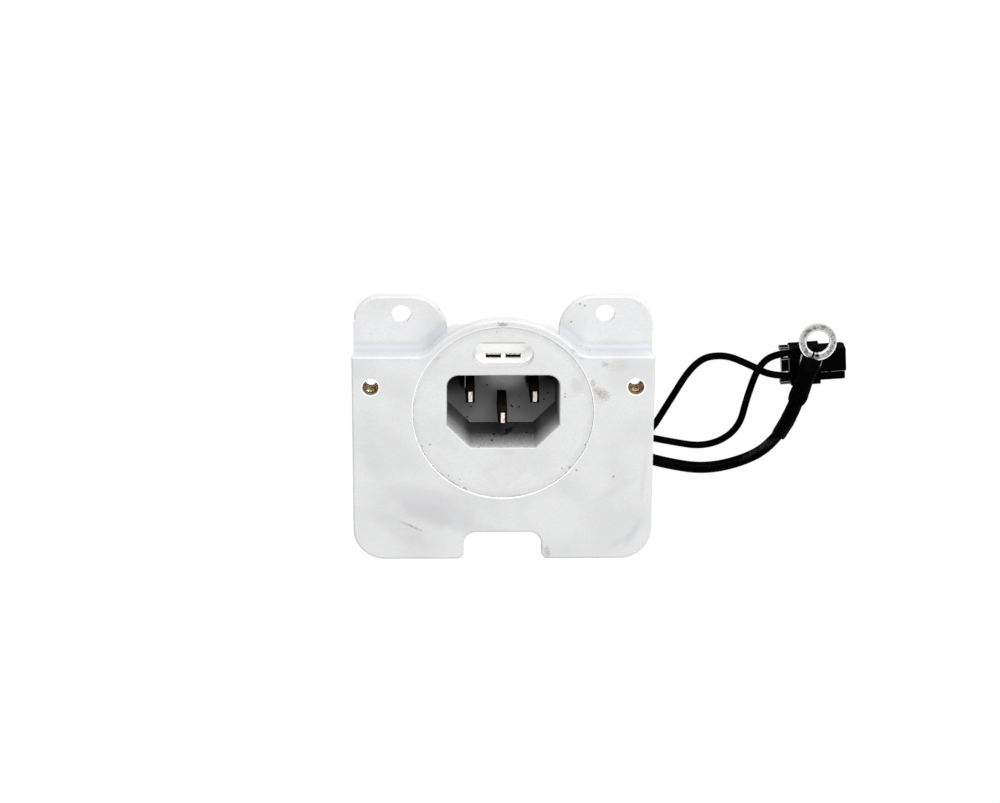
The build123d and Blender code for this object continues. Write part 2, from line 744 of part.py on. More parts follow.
# The pieces, written one by one
finished(mounting_bracket.part, "mounting_bracket")
for name, place in zip(("threaded_insert_left", "threaded_insert_right"),
                       mirrored_pair(insert_spacing, insert_height)):
    finished(threaded_insert.part.moved(Location((*place, 0))), name)
finished(inlet_body.part, "inlet_body")
finished(live_pin, "live_pin")
finished(neutral_pin, "neutral_pin")
finished(earth_pin, "earth_pin")
finished(auxiliary_insert.part, "auxiliary_insert")
finished(auxiliary_contact(aux_left_place), "auxiliary_contact_left")
finished(auxiliary_contact(aux_right_place), "auxiliary_contact_right")
finished(tail_sleeve(live_place, live_tail_reach, thin_lead_radius), "live_sleeve")
finished(tail_sleeve(neutral_place, neutral_tail_reach, thin_lead_radius), "neutral_sleeve")
finished(tail_sleeve(earth_place, earth_tail_reach, earth_lead_radius), "earth_sleeve")
for name, (route, radius) in leads.items():
    radii = corner_radii(route)
    lead, length = swept_tube(route, radii, radius)
    finished(lead, name)
    print(name, "length", round(length, 1), "corner radii", [round(value, 1) for value in radii])
finished(ring_terminal.part, "ring_terminal")
finished(ring_sleeve.part, "ring_sleeve")
undersleeve, _ = swept_tube(undersleeve_route, undersleeve_radii, undersleeve_radius,
                            earth_lead_radius + fit_gap)
finished(undersleeve, "ring_undersleeve")
finished(plug_housing.part, "plug_housing")
finished(plug_lock.part, "plug_lock")
for name, line in zip(("plug_contact_neutral", "plug_contact_live"), contact_lines):
    finished(plug_contact(line), name)
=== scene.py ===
import bpy
import math
from mathutils import Matrix, Vector, noise


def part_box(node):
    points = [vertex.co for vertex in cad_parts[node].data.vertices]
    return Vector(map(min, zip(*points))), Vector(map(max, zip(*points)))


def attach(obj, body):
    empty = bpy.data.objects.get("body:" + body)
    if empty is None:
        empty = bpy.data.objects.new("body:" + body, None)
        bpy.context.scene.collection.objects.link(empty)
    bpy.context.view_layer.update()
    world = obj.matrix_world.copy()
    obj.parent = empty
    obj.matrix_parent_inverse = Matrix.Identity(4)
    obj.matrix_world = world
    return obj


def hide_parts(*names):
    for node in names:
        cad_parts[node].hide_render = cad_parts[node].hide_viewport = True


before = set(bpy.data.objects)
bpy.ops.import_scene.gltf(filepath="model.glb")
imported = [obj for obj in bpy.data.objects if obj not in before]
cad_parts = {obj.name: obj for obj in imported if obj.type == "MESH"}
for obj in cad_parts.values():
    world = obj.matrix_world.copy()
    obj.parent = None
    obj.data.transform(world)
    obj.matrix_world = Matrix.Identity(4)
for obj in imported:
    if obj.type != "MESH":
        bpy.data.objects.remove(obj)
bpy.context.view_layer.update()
mm = 0.001

# Camera, as for a catalogue picture: it looks straight at the face, leaning over from the side of
# the ears, with a long lens.
face = 30.0
camera_lean, camera_yaw, camera_roll = (math.radians(angle) for angle in (-19.459, -1.4453, 0.3289))
camera_distance = 600.0 * mm
lens_length, sensor_width = 100.61, 36.0
aim = Vector((-0.724 * mm, 2.8168 * mm, face * mm))
turn = (Matrix.Rotation(camera_yaw, 4, "Y") @ Matrix.Rotation(camera_lean, 4, "X")
        @ Matrix.Rotation(camera_roll, 4, "Z"))
camera = bpy.data.objects.new("catalogue_camera", bpy.data.cameras.new("catalogue_camera"))
camera.matrix_world = Matrix.Translation(aim + camera_distance * turn.col[2].to_3d()) @ turn
camera.data.lens = lens_length
camera.data.sensor_width = sensor_width
camera.data.clip_start = 0.01
bpy.context.collection.objects.link(camera)
bpy.context.scene.camera = camera
bpy.context.scene.view_settings.view_transform = "Standard"

# Mounting bracket: one injection moulding in off-white plastic, a plate stepped back to two
# screw ears.  Handling has left smears and specks on it, and the feet of the ears carry painted shade with
# specks of grime.


class Socket:
    """An output inside a material.  Arithmetic on it adds Math nodes."""

    def __init__(self, finish, link):
        self.finish, self.link = finish, link

    def math(self, operation, *operands):
        return self.finish.node("ShaderNodeMath", {"operation": operation}, dict(enumerate(operands)))

    def __add__(self, other):
        return self.math("ADD", self, other)

    def __sub__(self, other):
        return self.math("SUBTRACT", self, other)

    def __mul__(self, other):
        return self.math("MULTIPLY", self, other)

    def __truediv__(self, other):
        return self.math("DIVIDE", self, other)

    def __pow__(self, other):
        return self.math("POWER", self, other)

    def __abs__(self):
        return self.math("ABSOLUTE", self)

    def __rsub__(self, other):
        return self.math("SUBTRACT", other, self)

    def __lt__(self, other):
        return self.math("LESS_THAN", self, other)

    def __gt__(self, other):
        return self.math("GREATER_THAN", self, other)

    __radd__ = __add__
    __rmul__ = __mul__

    def least(self, other):
        return self.math("MINIMUM", self, other)

    def most(self, other):
        return self.math("MAXIMUM", self, other)

    def ramp(self, low, high, smooth=True):
        """Goes from 0 to 1 while this value goes from low to high."""
        kind = "SMOOTHSTEP" if smooth else "LINEAR"
        return self.finish.node("ShaderNodeMapRange", {"interpolation_type": kind, "clamp": True},
                                {"Value": self, "From Min": low, "From Max": high})


class Finish:
    """A material being made: one surface shader and the nodes that feed it."""

    def __init__(self, name, **constants):
        self.material = bpy.data.materials.new(name)
        self.material.use_nodes = True
        self.tree = self.material.node_tree
        self.surface = self.tree.nodes["Principled BSDF"]
        for socket, value in constants.items():
            self.surface.inputs[socket.replace("_", " ")].default_value = value
        place = self.node("ShaderNodeTexCoord", {}, {}, "Object")
        self.place = self.node("ShaderNodeVectorMath", {"operation": "SCALE"}, {0: place, "Scale": 1 / mm})

    def node(self, kind, settings, inputs, output=0):
        node = self.tree.nodes.new(kind)
        for name, value in settings.items():
            setattr(node, name, value)
        for name, value in inputs.items():
            if isinstance(value, Socket):
                self.tree.links.new(value.link, node.inputs[name])
            else:
                node.inputs[name].default_value = value
        return Socket(self, node.outputs[output])

    def axes(self, place=None):
        """The three coordinates of a place, each by itself, in millimetres."""
        kind = "ShaderNodeSeparateXYZ"
        node = self.node(kind, {}, {0: place or self.place}).link.node
        return [Socket(self, output) for output in node.outputs]

    def upward(self):
        """How the surface faces: 1 where it is level, 0 where it is upright."""
        return self.axes(self.node("ShaderNodeNewGeometry", {}, {}, "Normal"))[2]

    def along(self, centre, angle, pair=(0, 1)):
        """Two coordinates of the place, from a centre and along axes turned by an angle."""
        place = self.axes()
        first, second = (place[axis] - middle for axis, middle in zip(pair, centre))
        c, s = math.cos(math.radians(angle)), math.sin(math.radians(angle))
        return first * c + second * s, second * c - first * s

    def noise(self, scale, detail=3.0, place=None, rough=0.55):
        return self.node("ShaderNodeTexNoise", {}, {"Vector": place or self.place, "Scale": scale,
                                                    "Detail": detail, "Roughness": rough})

    def mix(self, factor, one, other):
        """From one colour to the other."""
        ends = {0: factor}
        ends.update({socket: value if isinstance(value, Socket) else (*value, 1.0)
                     for socket, value in ((6, one), (7, other))})
        return self.node("ShaderNodeMix", {"data_type": "RGBA"}, ends, 2)

    def specks(self, spacing, size, share):
        """Small dots, one at most in each cell, in the given share of the cells."""
        cells = {"Vector": self.place, "Scale": 1 / spacing, "Randomness": 1.0}
        near = self.node("ShaderNodeTexVoronoi", {}, cells, "Distance")
        tone = self.node("ShaderNodeTexVoronoi", {}, cells, "Color")
        pick = self.node("ShaderNodeSeparateColor", {}, {0: tone}, "Red")
        return (near * spacing < size * pick / share) * (pick < share)

    def stain(self, centre, reach, angle=0.0, ragged=0.5, grain=1.2, pair=(0, 1)):
        """A soft-edged mark on a face: 1 in its middle and 0 beyond its reach."""
        along, across = self.along(centre, angle, pair)
        edge = ((along / reach[0]) ** 2 + (across / reach[1]) ** 2) ** 0.5
        return 1 - (edge + (self.noise(grain, 4.0) - 0.5) * 2 * ragged).ramp(0.35, 1.0)

    def feed(self, socket, value):
        self.tree.links.new(value.link, self.surface.inputs[socket])

    def bump(self, height, distance):
        """Raises the surface by height times distance, in millimetres."""
        self.feed("Normal", self.node("ShaderNodeBump", {}, {"Height": height, "Distance": distance * mm,
                                                             "Strength": 1.0}))

    def cover(self, *names):
        for name in names:
            self.dress(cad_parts[name])

    def dress(self, piece):
        piece.data.materials.clear()
        piece.data.materials.append(self.material)


def handled(finish, colour):
    """A moulding's colour with the fine grey grain that handling leaves."""
    return finish.mix(finish.noise(2.2, 4.0).ramp(0.35, 0.7) * 0.20, colour, smear_and_shade_grey)


def satin(finish):
    """The roughness of an injection moulding, from place to place."""
    return finish.noise(0.5, 3.0).ramp(0.3, 0.7) * 0.12 + 0.36


def from_inserts(finish):
    """Distance from the axis of the nearer threaded insert, in millimetres."""
    x, y = finish.axes()[:2]
    return ((abs(x) - insert_x) ** 2 + (y - insert_y) ** 2) ** 0.5


white_plastic, clouded_plastic = (0.715, 0.717, 0.724), (0.660, 0.662, 0.668)
grime = (0.30, 0.27, 0.23)
smear_and_shade_grey = (0.50, 0.50, 0.51)
foot_shade_grey, hole_shade_grey = (0.53, 0.54, 0.57), (0.22, 0.22, 0.22)
rim_highlight_white, lip_highlight_white = (0.97, 0.97, 0.97), (0.98, 0.98, 0.98)
ear_face, step_line = 24.8, 12.6
collar_radius, seat_radius = 21.1, 19.5
insert_x, insert_y, hole_radius = 28.5, 6.0, 1.75
bracket_finish = Finish("bracket_plastic", Roughness=0.42, Specular_IOR_Level=0.35)
clouds = bracket_finish.noise(0.07, 5.0)
plate_colour = bracket_finish.mix(clouds.ramp(0.40, 0.64), white_plastic, clouded_plastic)
smears_and_foot_shade = [
    ((-15.0, -21.5), (15.0, 5.5), -22, 0.42),
    ((-16.0, -23.0), (8.0, 3.2), -25, 0.20),
    ((-24.0, 7.0), (6.0, 4.0), 0, 0.16),
    ((-22.0, -27.0), (10.0, 3.0), -30, 0.22),
    ((-28.0, -10.0), (3.0, 5.0), 10, 0.12),
    ((-3.0, -27.5), (9.0, 2.4), -10, 0.20),
    ((28.4, -28.0), (1.4, 5.0), -30, 0.36),
    ((30.6, -14.0), (0.8, 8.0), -5, 0.22),
    ((24.5, -17.5), (7.0, 1.3), 30, 0.14),
    ((26.0, -29.5), (4.5, 1.0), 35, 0.20),
    # The last two are painted shade: grey bands along the feet of both ears.
    ((-23.0, 13.5), (9.0, 2.2), 0, 0.14),
    ((23.0, 13.5), (9.0, 2.2), 0, 0.14),
]
for centre, reach, angle, depth in smears_and_foot_shade:
    grey_patch = bracket_finish.stain(centre, reach, angle, 0.35, 0.22) * depth
    plate_colour = bracket_finish.mix(grey_patch, plate_colour, smear_and_shade_grey)
marks = [
    ((-0.3, 20.1), (1.5, 0.75), 0, 0.80),
    ((-0.3, 20.3), (0.6, 0.4), 0, 0.60),
    ((19.2, 6.9), (0.7, 1.3), 0, 0.45),
    ((20.1, 5.2), (1.6, 1.1), -35, 0.35),
    ((21.4, 4.4), (2.0, 1.5), -40, 0.55),
    ((20.3, 3.9), (2.6, 2.4), -50, 0.16),
    ((24.4, 10.8), (3.4, 1.7), 5, 0.16),
    ((21.7, 11.2), (1.2, 0.9), 0, 0.40),
    ((14.8, 14.1), (0.7, 0.7), 0, 0.45),
    ((16.7, 12.5), (0.9, 0.3), -20, 0.35),
    ((9.8, -32.2), (0.9, 1.9), 12, 0.45),
    ((-13.4, 22.0), (0.7, 2.6), 42, 0.40),
    ((-19.8, -26.0), (3.6, 0.36), -25, 0.60),
]
mottling = bracket_finish.noise(2.1, 4.0, rough=0.7).ramp(0.38, 0.60) * 0.9 + 0.35
x, y, z = bracket_finish.axes()
on_front = z > ear_face - 0.4
level = bracket_finish.upward() > 0.3
for centre, reach, angle, depth in marks:
    mark = bracket_finish.stain(centre, reach, angle, 0.8, 2.8) * mottling * (depth * on_front * level)
    plate_colour = bracket_finish.mix(mark, plate_colour, grime)
dots = [
    (-12.3, 20.3), (16.4, 23.1), (17.5, 22.7), (14.6, 19.1), (17.9, 13.3), (18.6, 13.0), (15.9, -13.0),
    (24.0, -14.5),
]
off_wall = z < (y < step_line) * 9.0 + (ear_face + 1.2)
for place in dots:
    dot = bracket_finish.stain(place, (0.34, 0.30), 0, 0.3, 2.5) * on_front * off_wall
    plate_colour = bracket_finish.mix(dot, plate_colour, grime)
from_axis = (x ** 2 + y ** 2) ** 0.5
from_wall = (y - step_line).least(from_axis - collar_radius)
low_down = 1 - z.ramp(ear_face + 0.4, ear_face + 2.2)
# Painted shade at the feet of the ears, where they meet the step and the collar, with specks of grime in
# it.
foot_shade_and_specks = (1 - from_wall.ramp(0.4, 3.0)) * low_down * (y > step_line)
foot_specks = bracket_finish.specks(1.1, 0.16, 0.30) * foot_shade_and_specks
plate_colour = bracket_finish.mix(foot_shade_and_specks * 0.9, plate_colour, foot_shade_grey)
plate_colour = bracket_finish.mix(foot_specks * 0.7, plate_colour, grime)
stray_specks = bracket_finish.specks(3.6, 0.13, 0.16)
plate_colour = bracket_finish.mix(stray_specks * 0.75, plate_colour, grime)
# Painted highlight: a pale line on the lip of the seat round the inlet's flange, also used on the flange's
# rim.
wider_above = y.ramp(-6.0, 6.0) * 0.14
beyond_lip = (from_axis - wider_above).ramp(seat_radius + 0.02, seat_radius + 0.20)
seat_lip_highlight = (from_axis > seat_radius - 0.2) * (1 - beyond_lip)
plate_colour = bracket_finish.mix(seat_lip_highlight * 0.85, plate_colour, lip_highlight_white)
from_hole = from_inserts(bracket_finish)
# Painted highlight on the rim round each insert's hole, and painted shade on the hole's wall below it.
hole_rim_highlight = (from_hole < hole_radius + 0.25) * (z > face - 0.3)
hole_wall_shade = (from_hole < hole_radius + 0.10) * (z < face - 0.3)
plate_colour = bracket_finish.mix(hole_rim_highlight, plate_colour, rim_highlight_white)
plate_colour = bracket_finish.mix(hole_wall_shade, plate_colour, hole_shade_grey)
bracket_finish.feed("Base Color", handled(bracket_finish, plate_colour))
bracket_finish.feed("Roughness", satin(bracket_finish))
bracket_finish.bump(bracket_finish.noise(5.0, 2.0), 0.012)
bracket_finish.cover("mounting_bracket")

# Threaded inserts: turned brass bushes, knurled outside, pressed into the bosses from behind.
# Their threads show through the holes in the plate.
brass_finish = Finish("insert_brass", Metallic=1.0)
patchy = brass_finish.noise(1.8, 4.0)
# Painted shade in the thread grooves, and dark patches at random painted as shade among the threads.
groove_shade = from_inserts(brass_finish).ramp(1.30, 1.46) * 0.5
thread_shade_patches = brass_finish.noise(2.6, 3.0).ramp(0.47, 0.55)
clean_brass, thread_shade_brown, groove_shade_brown = (0.95, 0.66, 0.27), (0.16, 0.11, 0.09), (0.05, 0.03, 0.015)
brass_colour = brass_finish.mix(thread_shade_patches, clean_brass, thread_shade_brown)
brass_finish.feed("Base Color", brass_finish.mix(groove_shade, brass_colour, groove_shade_brown))
brass_finish.feed("Roughness", patchy * 0.3 + 0.18)
thread_pitch, thread_depth, thread_radius = 0.5 * mm, 0.22 * mm, 1.5 * mm
thread_steps, insert_sides = 8, 72
knurl_depth, knurl_ridges = 0.08 * mm, 24
everything = "root"


def new_piece(name, data, finish):
    """Adds a piece that rides with the socket, dressed in the given finish."""
    piece = bpy.data.objects.new(name, data)
    bpy.context.collection.objects.link(piece)
    finish.dress(piece)
    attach(piece, everything)
    return piece


def insert_radii(place, height):
    """Inner and outer radius of an insert at one of its sides and a height above its foot."""
    share = place / insert_sides
    wave = (height / thread_pitch - share) % 1.0
    crest = 1 - abs(2 * wave - 1)
    ridge = abs(((share * knurl_ridges) % 1.0) * 2 - 1)
    return thread_radius - thread_depth * min(1.0, 1.4 * crest), outer_radius - knurl_depth * ridge


for side in ("left", "right"):
    name = f"threaded_insert_{side}"
    low, high = (Vector(corner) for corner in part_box(name))
    middle = (low + high) / 2
    outer_radius, length = (high.x - low.x) / 2, high.z - low.z
    rows = int(length / thread_pitch * thread_steps)
    points, faces = [], []
    for row in range(rows + 1):
        rise = length * row / rows
        for place in range(insert_sides):
            angle = 2 * math.pi * place / insert_sides
            for radius in insert_radii(place, rise):
                points.append((middle.x + radius * math.cos(angle), middle.y + radius * math.sin(angle),
                               low.z + rise))
    ring = 2 * insert_sides
    for row in range(rows):
        for place in range(insert_sides):
            here, there = 2 * place, 2 * ((place + 1) % insert_sides)
            start, above = row * ring, (row + 1) * ring
            faces.append((start + here, above + here, above + there, start + there))
            faces.append((start + there + 1, above + there + 1, above + here + 1, start + here + 1))
    for place in range(insert_sides):
        here, there = 2 * place, 2 * ((place + 1) % insert_sides)
        top = rows * ring
        faces.append((here, there, there + 1, here + 1))
        faces.append((top + here + 1, top + there + 1, top + there, top + here))
    mesh = bpy.data.meshes.new(name)
    mesh.from_pydata(points, [], faces)
    mesh.update()
    piece = new_piece(f"knurled_insert_{side}", mesh, brass_finish)
    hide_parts(name)

# Inlet body: one injection moulding in the same plastic.  Its cavity is darkened with painted
# shade down to the pins' feet, and the flange shows faint rubs and specks.
flange_white, clouded_flange = (0.715, 0.717, 0.722), (0.680, 0.682, 0.688)
rub_grey, seam_grey = (0.36, 0.35, 0.34), (0.36, 0.36, 0.35)
back_wall = 14.0
inlet_finish = Finish("inlet_plastic", Roughness=0.42, Specular_IOR_Level=0.12)
clouds = inlet_finish.noise(0.11, 4.0)
flange_colour = inlet_finish.mix(clouds.ramp(0.40, 0.62), flange_white, clouded_flange)
rubs = [
    ((15.9, 6.2), (1.9, 2.4), 20, 0.24),
    ((11.0, 16.4), (1.8, 0.8), -50, 0.24),
    ((13.2, 3.7), (0.34, 0.32), 0, 0.95),
    ((13.3, 4.4), (0.30, 0.26), 0, 0.75),
    ((-1.5, 18.4), (0.26, 0.24), 0, 0.75),
    ((1.1, -9.0), (2.2, 0.9), 4, 0.12),
    ((-14.0, 12.5), (0.9, 0.5), 40, 0.30),
    ((3.0, -19.0), (4.5, 0.22), 8, 0.45),
    ((-10.6, -16.0), (2.4, 0.34), -33, 0.60),
    ((-8.3, -17.3), (0.75, 0.34), -26, 0.95),
    ((-13.2, -14.0), (0.6, 0.34), -42, 0.70),
    ((-17.5, -7.6), (0.34, 0.42), 20, 0.85),
    ((-15.8, -7.1), (0.34, 0.30), 0, 0.90),
    ((-11.8, -14.3), (0.30, 0.28), 0, 0.85),
    ((-9.4, -15.1), (0.30, 0.30), 0, 0.70),
    ((14.5, -12.5), (0.45, 0.35), 40, 0.95),
    ((12.8, -12.7), (0.30, 0.30), 0, 0.90),
    ((17.8, -7.3), (0.40, 0.50), 20, 0.95),
]
for centre, reach, angle, depth in rubs:
    rub = inlet_finish.stain(centre, reach, angle, 0.8, 1.6) * depth
    flange_colour = inlet_finish.mix(rub, flange_colour, rub_grey)
flange_colour = inlet_finish.mix(inlet_finish.specks(2.8, 0.13, 0.16) * 0.75, flange_colour, grime)
flange_colour = handled(inlet_finish, flange_colour)

x, y, z = inlet_finish.axes()
from_axis = (x ** 2 + y ** 2) ** 0.5
on_flange = z > face - 6.0
# The flange turns grey towards its seam, with dark specks there.
seam_specks = inlet_finish.specks(0.9, 0.16, 0.30) * from_axis.ramp(18.6, 19.2)
seam_greying = from_axis.ramp(17.6, 19.3) * 0.18 + seam_specks * 0.3
# Painted highlight on the flange's outer rim.
flange_rim_highlight = (from_axis > seat_radius - 0.2) * on_flange
flange_colour = inlet_finish.mix(seam_greying * on_flange, flange_colour, seam_grey)
flange_colour = inlet_finish.mix(flange_rim_highlight * 0.9, flange_colour, lip_highlight_white)

# Inside the cavity: walls painted with shade that deepens below the lip, a back wall painted grey with a
# pale patch of painted light, black specks and a hair
lower_wall_shade, side_wall_shade, upper_wall_shade = (0.050, 0.050, 0.052), (0.14, 0.14, 0.145), (0.02, 0.02, 0.02)
back_shade_grey, back_light_pale, back_dust = (0.33, 0.33, 0.34), (0.97, 0.97, 0.97), (0.16, 0.16, 0.16)
corner_shade_black, pin_shade, soot_black = (0.02, 0.02, 0.02), (0.01, 0.01, 0.01), (0.008, 0.008, 0.008)
lip_foot = face - 0.4
within_walls = (abs(x) < 12.4) * (abs(y - 0.3) < 8.5) * (abs(x) - y < 15.8)
inside_cavity = within_walls * (z > back_wall - 0.5) * (z < lip_foot)
dust_and_shade_noise = inlet_finish.noise(2.6, 3.0) - 0.5
shade_below_lip = (lip_foot - z + dust_and_shade_noise * 7).ramp(0.0, 9.0, smooth=False) ** 0.6
deep_shade_colour = inlet_finish.mix(y.ramp(-7.6, -5.5), lower_wall_shade, side_wall_shade)
deep_shade_colour = inlet_finish.mix(y.ramp(0.0, 5.0), deep_shade_colour, upper_wall_shade)
wall_colour = inlet_finish.mix(shade_below_lip, flange_colour, deep_shade_colour)
pale_light_patch = inlet_finish.stain((1.0, 4.6), (6.5, 6.0), 0, 0.15, 0.4)
# Painted shade in the back wall's top corners, and painted shadows beside the pins' feet.
corner_shade = abs(x - 0.8).ramp(5.7, 9.7) * y.ramp(-2.0, 3.0)
back_colour = inlet_finish.mix(pale_light_patch, back_shade_grey, back_light_pale)
back_colour = inlet_finish.mix(corner_shade, back_colour, corner_shade_black)
back_colour = inlet_finish.mix(abs(dust_and_shade_noise) * 1.2, back_colour, back_dust)
for centre in ((-8.6, 2.6), (5.9, 2.8)):
    pin_shadow = inlet_finish.stain(centre, (1.1, 3.2), 0, 0.2)
    back_colour = inlet_finish.mix(pin_shadow, back_colour, pin_shade)
cavity_colour = inlet_finish.mix(z < back_wall + 0.05, wall_colour, back_colour)
soot = inlet_finish.specks(1.9, 0.24, 0.30)
soot_spots = [
    (2.1, -3.7), (3.9, -4.1), (-3.2, 1.0), (-6.7, -4.0), (-7.6, -6.4), (9.4, -2.3), (10.2, -0.8),
    (6.3, -7.8),
]
for spot in soot_spots:
    soot = soot.most(inlet_finish.stain(spot, (0.34, 0.28), 20, 0.4, 2.5) * (z < back_wall + 0.4))
strands = [
    ((1.45, 19.4), (3.2, 0.46), -70), ((1.5, 18.9), (1.0, 1.6), 10), ((0.8, 21.0), (1.8, 0.30), -40),
    ((2.3, 17.4), (0.9, 0.3), -20), ((-1.8, 21.4), (0.32, 0.8), 0), ((-2.3, 25.2), (0.30, 0.7), 0),
    ((5.4, 20.4), (0.25, 0.6), 0), ((3.2, 14.8), (0.30, 0.7), 0),
]
for centre, reach, angle in strands:
    strand = inlet_finish.stain(centre, reach, angle, 0.45, 2.0, (0, 2)) > 0.2
    soot = soot.most(strand * (y < -6.0))
cavity_colour = inlet_finish.mix(soot * 0.95, cavity_colour, soot_black)
inlet_finish.feed("Base Color", inlet_finish.mix(inside_cavity, flange_colour, cavity_colour))
inlet_finish.feed("Roughness", satin(inlet_finish).most(inside_cavity))
inlet_finish.bump(inlet_finish.noise(5.0, 2.0), 0.012)
inlet_finish.cover("inlet_body")

# Contact pins: flat brass blades with drawn-in tips.  Their sides are painted brown-black as
# painted shade, and their upward ends carry a painted highlight with brassy streaks.
end_highlight_white, end_streak_brown = (0.95, 0.94, 0.92), (0.42, 0.30, 0.18)
side_shade_black, side_shade_brown = (0.007, 0.006, 0.006), (0.022, 0.016, 0.013)
pin_finish = Finish("plated_pin", Specular_IOR_Level=0.0)
x, y, z = pin_finish.axes()
brushed = pin_finish.node("ShaderNodeCombineXYZ", {}, {0: x * 9, 1: y * 1.5, 2: z * 0.7})
streaks = pin_finish.noise(0.9, 4.0, brushed)
# Painted highlight on the pins' upward-facing ends; elsewhere the pins are painted dark as shade.
brightened = (pin_finish.upward() > 0.95) * (z > 20.0)
lit_end = pin_finish.mix(streaks.ramp(0.50, 0.62), end_highlight_white, end_streak_brown)
patchy = pin_finish.mix(streaks, side_shade_black, side_shade_brown)
pin_finish.feed("Base Color", pin_finish.mix(brightened, patchy, lit_end))
pin_finish.feed("Metallic", brightened * 0.3)
pin_finish.feed("Roughness", streaks * 0.2 + 0.5 - brightened * 0.2)
pin_finish.bump(streaks, 0.01)
pin_finish.cover("live_pin", "neutral_pin", "earth_pin")

# Auxiliary insert: a glossy white block snapped into the recess above the cavity.  It glows
# faintly with painted light that fills its shadows, and its top edge and deep slots carry painted shade.
insert_white, clouded_insert, edge_shadow_brown = (0.875, 0.875, 0.865), (0.85, 0.85, 0.84), (0.36, 0.33, 0.29)
slot_shade_black, unlit = (0.004, 0.004, 0.004), (0.0, 0.0, 0.0)
auxiliary_finish = Finish("insert_plastic", Specular_IOR_Level=0.4, Emission_Strength=1.0)
cloud = auxiliary_finish.noise(0.5, 3.0)
x, y, z = auxiliary_finish.axes()
insert_face, slot_line = face - 3.0, 12.0
slot_shade = insert_face - 1.7
in_slots = (abs(x) < 4.0) * (abs(y - slot_line) < 0.8) * (z < insert_face - 0.05)
insert_colour = auxiliary_finish.mix(cloud, insert_white, clouded_insert)
# Painted shadow: a thin brownish line along the top edge of the insert's face.
insert_colour = auxiliary_finish.mix(y.ramp(14.75, 15.05) * 0.7, insert_colour, edge_shadow_brown)
# Painted shade deep in the two slots.
deep_slot_shade = (slot_shade - z).ramp(0.0, 0.4) * in_slots
insert_colour = auxiliary_finish.mix(deep_slot_shade, insert_colour, slot_shade_black)
# Painted light: emission that lightens the top of the face, the slots' lower walls and the right end.
light_above = y.ramp(13.0, 14.8, smooth=False) * 0.46
light_in_slots = z.ramp(slot_shade, slot_shade + 0.6) * in_slots * 0.34
light_inside = (light_above + light_in_slots + 0.02).most(x.ramp(4.2, 6.4) * 0.36)
auxiliary_finish.feed("Base Color", insert_colour)
auxiliary_finish.feed("Emission Color", auxiliary_finish.mix(light_inside, unlit, insert_colour))
auxiliary_finish.feed("Roughness", cloud * 0.15 + 0.2)
auxiliary_finish.bump(auxiliary_finish.noise(4.0, 2.0), 0.006)
auxiliary_finish.cover("auxiliary_insert")

# Auxiliary contacts: stamped brass strips along the upper walls of the two slots.  Their pale
# plating is worn through in places.
contact_finish = Finish("contact_brass", Metallic=0.6)
patchy = contact_finish.noise(2.5, 4.0)
pale_plating, worn_brass = (0.95, 0.92, 0.88), (0.55, 0.38, 0.20)
contact_finish.feed("Base Color", contact_finish.mix(patchy.ramp(0.45, 0.65), pale_plating, worn_brass))
contact_finish.feed("Roughness", patchy * 0.3 + 0.2)
contact_finish.cover("auxiliary_contact_left", "auxiliary_contact_right")

# Sleeves on the soldered tails: black heat-shrink tube in three short lengths, each slid over a
# joint and shrunk down on tail and lead with hot air.
shrink_finish = Finish("heat_shrink", Specular_IOR_Level=0.02)
crinkle = shrink_finish.noise(1.6, 4.0)
dull_black, worn_black = (0.0006, 0.0006, 0.0006), (0.0014, 0.0014, 0.0014)
shrink_finish.feed("Base Color", shrink_finish.mix(crinkle, dull_black, worn_black))
shrink_finish.feed("Roughness", crinkle * 0.3 + 0.42)
shrink_finish.bump(crinkle, 0.04)
shrink_finish.cover("live_sleeve", "neutral_sleeve", "earth_sleeve")

# Leads: soft black insulation over stranded copper, two thin ones to the plug and a thicker one
# for earth.  They leave the chamber low down and lie on the table in loose bends.  The earth lead
# is made further down, after its sleeves.
lead_black, scuffed_black = (0.0008, 0.0007, 0.0006), (0.025, 0.025, 0.025)
sheen_black = (0.035, 0.035, 0.035)
lead_finish = Finish("lead_insulation", Specular_IOR_Level=0.008)
skin = lead_finish.noise(3.0, 4.0)
scuffs = lead_finish.noise(0.35, 5.0).ramp(0.52, 0.72) * skin.ramp(0.45, 0.75)
# Painted sheen: a grey highlight along the earth lead's bend.
bend_sheen = lead_finish.stain((59.5, -17.8), (7.0, 0.8), 36, 0.3) * skin.ramp(0.40, 0.7)
lead_colour = lead_finish.mix(scuffs * 0.4, lead_black, scuffed_black)
lead_finish.feed("Base Color", lead_finish.mix(bend_sheen, lead_colour, sheen_black))
lead_finish.feed("Roughness", scuffs * 0.25 + 0.34)
lead_finish.bump(skin, 0.015)
thin_diameter, earth_diameter = 1.6 * mm, 2.6 * mm
live_route = [
    (-3.0, 1.8, 7.5), (2.2, 1.8, 7.5), (7.5, -1.6, 2.4), (14.6, -3.4, 1.6), (22.0, -11.0, 0.8),
    (29.3, -15.2, 0.8), (37.5, -17.0, 0.8), (47.0, -18.7, 0.8), (54.2, -14.6, 0.8), (56.0, -6.0, 0.8),
    (58.5, 1.4, 0.8), (62.176, 4.346, 2.25), (66.964, 4.681, 2.25),
]
neutral_route = [
    (10.8, 1.8, 7.5), (17.0, 1.8, 7.5), (22.4, -6.3, 5.4), (26.5, -14.8, 2.8), (33.4, -15.2, 2.8),
    (37.6, -8.4, 1.6), (43.9, 2.3, 0.8), (50.2, 3.7, 0.8), (55.8, 2.0, 3.2), (61.469, -1.317, 2.25),
    (67.355, -0.905, 2.25),
]
